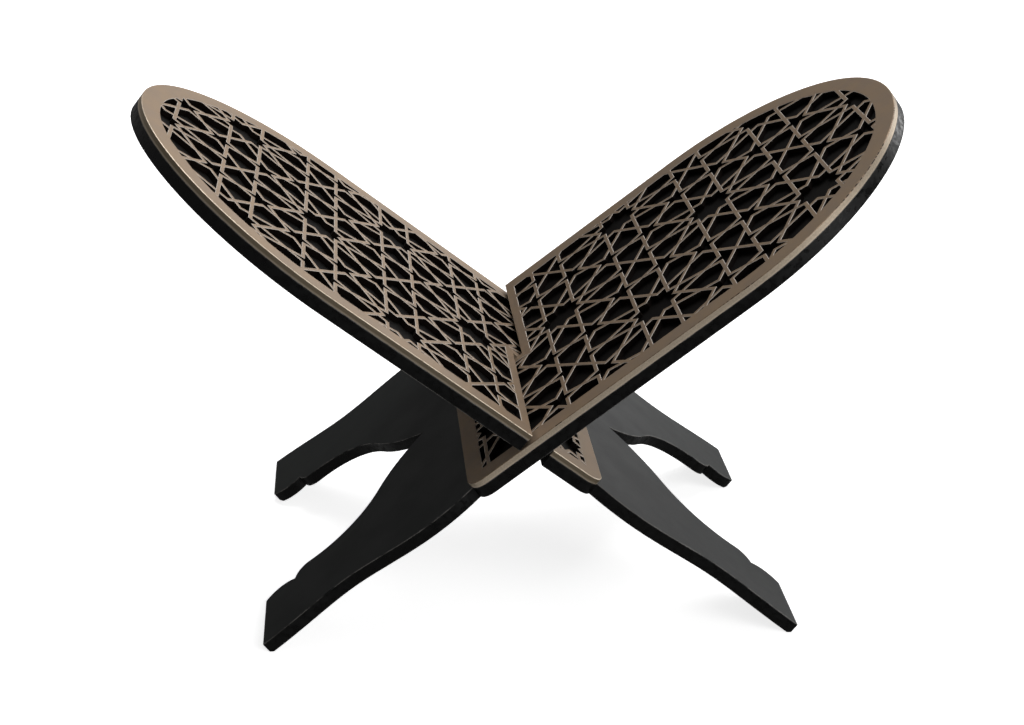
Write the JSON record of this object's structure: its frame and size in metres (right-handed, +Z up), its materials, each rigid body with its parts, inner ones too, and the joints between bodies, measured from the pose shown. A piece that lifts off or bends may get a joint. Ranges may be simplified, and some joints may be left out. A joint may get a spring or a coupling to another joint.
{
  "type": "quran stand",
  "caption": "X-shaped book stand of interlocking flat boards with splayed legs, an arch between the legs and a star-pattern lattice facing on each wing.",
  "frame": {"origin": "on the floor, under the middle of the stand", "axes": "+Z up, Y along the line where the boards cross, +X towards the wing whose board is slotted in the +Y half"},
  "size_m": [0.3682, 0.2, 0.2451],
  "materials": {
    "black_board": "satin black paint on fibreboard",
    "bronze_lattice": "satin champagne-bronze metallic paint on thin fibreboard"
  },
  "bodies": {
    "left_board": {"left_wing_board": "black_board", "left_wing_lattice": "bronze_lattice"},
    "right_board": {"right_wing_board": "black_board", "right_wing_lattice": "bronze_lattice"}
  },
  "joints": [
    {"name": "slide_apart", "type": "slide", "parent": "left_board", "child": "right_board", "axis": [0, -1, 0], "range_m": [0, 0.1]}
  ]
}
